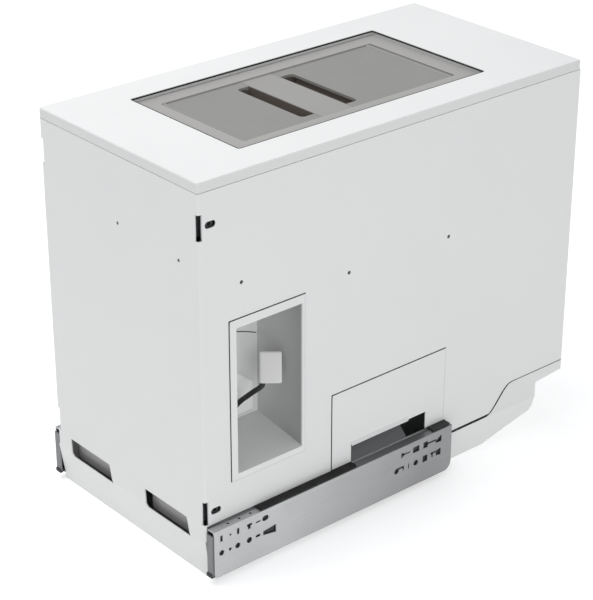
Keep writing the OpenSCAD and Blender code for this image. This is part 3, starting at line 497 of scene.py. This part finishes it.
CONNECTOR_CENTRE = Vector((95.6, -143.3, 188))
tilt = Matrix.Translation(CONNECTOR_CENTRE * MM) @ Matrix.Rotation(math.radians(50), 4, "Z")
tilt = tilt @ Matrix.Rotation(math.radians(-25), 4, "X")
bm = bmesh.new()
soft_box(bm, (-10.8, -4.2, -15.4), (10.8, 4.5, 15.4), 0.0008, tilt)
soft_box(bm, (-9.6, -4.5, -14.2), (9.6, -3.5, 14.2), 0.0005, tilt)
soft_box(bm, (82.5, -143, 183.2), (91.5, -127, 190.3), 0.0006)
add_piece("connector_block", bm, "mains_connector", stands_for=("mains_connector",))

# painted light: a pale patch on the pocket's back wall standing in for the light that falls there; and a
# dark line across that wall
POCKET_BACK = 55.2
LIGHT_PATCH_FACE = 56.15
LIGHT_PATCH_OUTLINE = [(-161, 121.5), (-134, 121.5), (-134, 153), (-161, 175.4)]
# the pale patch is painted light
bm = bmesh.new()
layers = [[bm.verts.new((x * MM, y * MM, z * MM)) for y, z in LIGHT_PATCH_OUTLINE] for x in (POCKET_BACK, LIGHT_PATCH_FACE)]
for layer in layers:
    bm.faces.new(layer)
for k in range(4):
    bm.faces.new((layers[0][k], layers[0][k - 1], layers[1][k - 1], layers[1][k]))
bmesh.ops.recalc_face_normals(bm, faces=bm.faces)
bmesh.ops.bevel(bm, geom=list(bm.edges), offset=0.0003, segments=2, affect="EDGES", clamp_overlap=True)
add_piece("pocket_light_patch", bm, "cable_pocket", material=powder_coat("light_patch_white", (0.95, 0.955, 0.95), 0.5))
# a thin dark line drawn across the pocket's back wall
BACK_WALL_LINE = [(-170, 219), (-153, 214.7), (-142, 211.2), (-128.5, 205.2)]
tube("pocket_back_wall_line", [[(POCKET_BACK, y, z) for y, z in BACK_WALL_LINE]], 0.45, "cable_pocket", slot="rubber")

# painted shadow: near-black beads in the joints round the opening, the pocket, the hatch and the tail stand
# in for the shadow in those gaps
SHADOW_SEAL = SPECIAL["skirt_seals"]
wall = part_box("outer_casing")[1][0] / MM
pocket_low, pocket_high = (Vector(c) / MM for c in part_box("cable_pocket"))
hatch_low, hatch_high = (Vector(c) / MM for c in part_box("side_hatch"))


def corner_path(y, z, low, rear, radius=3):
    """Up a front edge and back along a top edge, round the corner between them."""
    x = wall - 0.1
    return [(x, y, low), (x, y, z - 40), (x, y, z - radius), (x, y + 0.2, z - 0.6), (x, y + 0.8, z - 0.1),
            (x, y + radius, z), (x, y + 40, z), (x, rear, z)]


PATHS = {
    "pocket_joint": corner_path(pocket_low.y - 0.5, pocket_high.z + 0.6, 100, pocket_high.y + 0.5),
    "hatch_joint": corner_path(hatch_low.y - 0.5, hatch_high.z + 0.6, 62.3, hatch_high.y),
}
for name, path in PATHS.items():
    tube(name, [path], 0.62, "outer_casing", slot="rubber", material=SHADOW_SEAL)

EDGE_X, EDGE_FRONT, EDGE_REAR = 83.5, -169.5, 149.5
CORNER_R = 2
CORNERS = [(-1, EDGE_FRONT + CORNER_R, 180), (1, EDGE_FRONT + CORNER_R, 270),
           (1, EDGE_REAR - CORNER_R, 0), (-1, EDGE_REAR - CORNER_R, 90)]
ring = []
for side, y, start in CORNERS:
    for k in range(4):
        a = math.radians(start + 30 * k)
        x = side * (EDGE_X - CORNER_R) + CORNER_R * math.cos(a)
        ring.append((x, y + CORNER_R * math.sin(a), box_top - 0.85))
ring.append(ring[0])
tube("opening_shadow_bead", [ring], 0.8, "recess_frame", slot="rubber", material=SHADOW_SEAL,
     kind="POLY", sides=4, caps=False)

# the tail's bead lies deeper where it is thicker, so it stands clear of the runners as the unit slides
SEAM_LOW, SEAM_RISE = 41.6, 30
RISE_START, RISE_RUN = 133, 38
BEAD_R = 0.5
tail = [(y, SEAM_LOW, 1) for y in (74, 90, 106, 122)]
for k in range(13):
    t = k / 12
    ease = t * t * (3 - 2 * t)
    tail.append((RISE_START + RISE_RUN * t, SEAM_LOW + SEAM_RISE * ease, 1 + 3.2 * math.sin(math.pi * t)))
tail += [(y, SEAM_LOW + SEAM_RISE, 0.75) for y in (184, 200, 220, 235, 249.4)]
sides = [[(side * (wall + 0.38 - BEAD_R * r), y, z, r) for y, z, r in tail] for side in (1, -1)]
tube("tail_joint_shadows", sides, BEAD_R, "outer_casing", slot="rubber", material=SHADOW_SEAL)


def both_sides(bm, x, y, z, bevel):
    """The same box on the right and the left, from its lowest and highest x, y and z."""
    for side in (-1, 1):
        xs = sorted(side * v for v in x)
        soft_box(bm, (xs[0], y[0], z[0]), (xs[1], y[1], z[1]), bevel)


# painted shadow: black strips at the rear of the skirt stand in for the shadow under it
bm = bmesh.new()
both_sides(bm, (wall - 1.2, wall + 8.6), (46, 70.5), (60, 61.9), 0.0003)
add_piece("rear_skirt_shadow_strips", bm, "skirt_seals")

# painted shade: dark grey plates over the runners' open front ends stand in for the shade inside them
bm = bmesh.new()
both_sides(bm, (124.4, 133.5), (-248.7, -247.3), (9, 55), 0.0004)
painted_shade_cover_grey = moulded("painted_shade_cover_grey", (0.17, 0.17, 0.175))
add_piece("runner_end_shade_covers", bm, "drawer_members", "dark_plastic", painted_shade_cover_grey)

hidden_gap = [(wall - 0.5, hatch_high.y + 0.4, z) for z in (63, 90, 118, 147)]
tube("hatch_rear_bead", [hidden_gap], 0.42, "side_hatch", slot="panel_white")


# ---- inner details ----
SCREW_X, SCREW_Z = 100, 290
THREAD_FROM, THREAD_TO, THREAD_PITCH = -113.5, 129, 4
ROOT_R, THREAD_H = 6.5, 1.45
JOURNAL_R, NOSE_R = 6, 5


def lead_screw(node, x, step=0.5, sides=36):
    """A screw with its thread, ring by ring; a ring without a radius follows the thread."""
    low, high = (c[1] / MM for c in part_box(node))
    count = int((THREAD_TO - THREAD_FROM) / step)
    rows = [(low, JOURNAL_R), (THREAD_FROM, JOURNAL_R)]
    rows += [(THREAD_FROM + i * step, None) for i in range(count + 1)]
    rows += [(THREAD_TO, JOURNAL_R), (142, JOURNAL_R), (142, NOSE_R), (high, NOSE_R)]
    bm = bmesh.new()
    rings = []
    for y, radius in rows:
        ring = []
        for k in range(sides):
            a = 2 * math.pi * k / sides
            phase = (y / THREAD_PITCH - 2 * k / sides) % 1
            rise = max(0, min(1, 2.6 - 6 * abs(phase - 0.5)))
            r = radius or ROOT_R + THREAD_H * rise
            ring.append(bm.verts.new(((x + r * math.cos(a)) * MM, y * MM, (SCREW_Z + r * math.sin(a)) * MM)))
        rings.append(ring)
    skin(bm, rings, sides)
    add_piece(node + "_thread", bm, node, stands_for=(node,), angle=50)


lead_screw("left_lead_screw", -SCREW_X)
lead_screw("right_lead_screw", SCREW_X)

LEVER_Y, LEVER_Z = -236, 64
COIL_R, COIL_LENGTH, COIL_TURNS, COIL_STEPS = 2.75, 3.9, 4, 14
coils = []
for start in (25.6, 25.6 - 128):
    coil = []
    for k in range(COIL_TURNS * COIL_STEPS + 1):
        a = 2 * math.pi * k / COIL_STEPS
        x = start + COIL_LENGTH * k / (COIL_TURNS * COIL_STEPS)
        coil.append((x, LEVER_Y + COIL_R * math.cos(a), LEVER_Z + COIL_R * math.sin(a)))
    coils.append(coil)
tube("torsion_springs", coils, 0.42, "lever_springs", ("lever_springs",), resolution=3)

SHAFT_Z = 225
bm = bmesh.new()
turned(bm, [(196, 25), (197, 27), (204, 27), (204.6, 26), (228, 26), (228.6, 27), (234.5, 27), (236, 25.5),
            (236.1, 10), (239.4, 10), (240, 9.4)], (0, 0, SHAFT_Z))
for k in range(18):
    a = 2 * math.pi * k / 18
    spin = Matrix.Translation((0, 0, SHAFT_Z * MM)) @ Matrix.Rotation(a, 4, "Y")
    soft_box(bm, (-0.8, 206, 25.6), (0.8, 227, 26.9), 0.0002, spin)
soft_box(bm, (18, 205, SHAFT_Z + 10), (38, 225, SHAFT_Z + 24), 0.0012)
add_piece("motor_body", bm, "press_motor", stands_for=("press_motor",))
bm = bmesh.new()
for x in (-17, 17):
    turned(bm, [(236.1, 2.6), (238, 2.6), (238.3, 2.2)], (x, 0, SHAFT_Z), sides=6)
add_piece("motor_bolts", bm, "gearbox")

BOARD_Y = -116.2
bm = bmesh.new()
soft_box(bm, (-105, BOARD_Y - 15.6, 160), (-25, BOARD_Y - 14, 250), 0.0002)
add_piece("board_blank", bm, "control_board", stands_for=("control_board",))
bm = bmesh.new()
for z in (170, 204):
    soft_box(bm, (-98, BOARD_Y - 31, z), (-78, BOARD_Y - 15.5, z + 28), 0.0009)
soft_box(bm, (-52, BOARD_Y - 22, 172), (-34, BOARD_Y - 15.5, 190), 0.0004)
soft_box(bm, (-70, BOARD_Y - 17.4, 176), (-60, BOARD_Y - 15.5, 186), 0.0002)
for x in (-66, -50):
    turned(bm, [(BOARD_Y - 40, 5.2), (BOARD_Y - 39.5, 5.9), (BOARD_Y - 18, 5.9), (BOARD_Y - 17.4, 5.5),
                (BOARD_Y - 15.5, 5.9)], (x, 0, 222))
add_piece("board_parts", bm, "control_board", "black_plastic")
bm = bmesh.new()
for x in (-60, -30):
    for z in (166, 244):
        turned(bm, [(BOARD_Y - 14.2, 3), (BOARD_Y, 3)], (x, 0, z), sides=6)
for k in range(5):
    soft_box(bm, (-46 + k * 4, BOARD_Y - 19, 200), (-43 + k * 4, BOARD_Y - 15.5, 212), 0.0003)
add_piece("board_posts", bm, "control_board", "bronze")
bm = bmesh.new()
soft_box(bm, (-48, BOARD_Y - 27, 232), (-28, BOARD_Y - 15.5, 240), 0.0005)
soft_box(bm, (-102, BOARD_Y - 24, 236), (-72, BOARD_Y - 15.5, 245), 0.0005)
add_piece("board_sockets", bm, "control_board", "white_plastic")
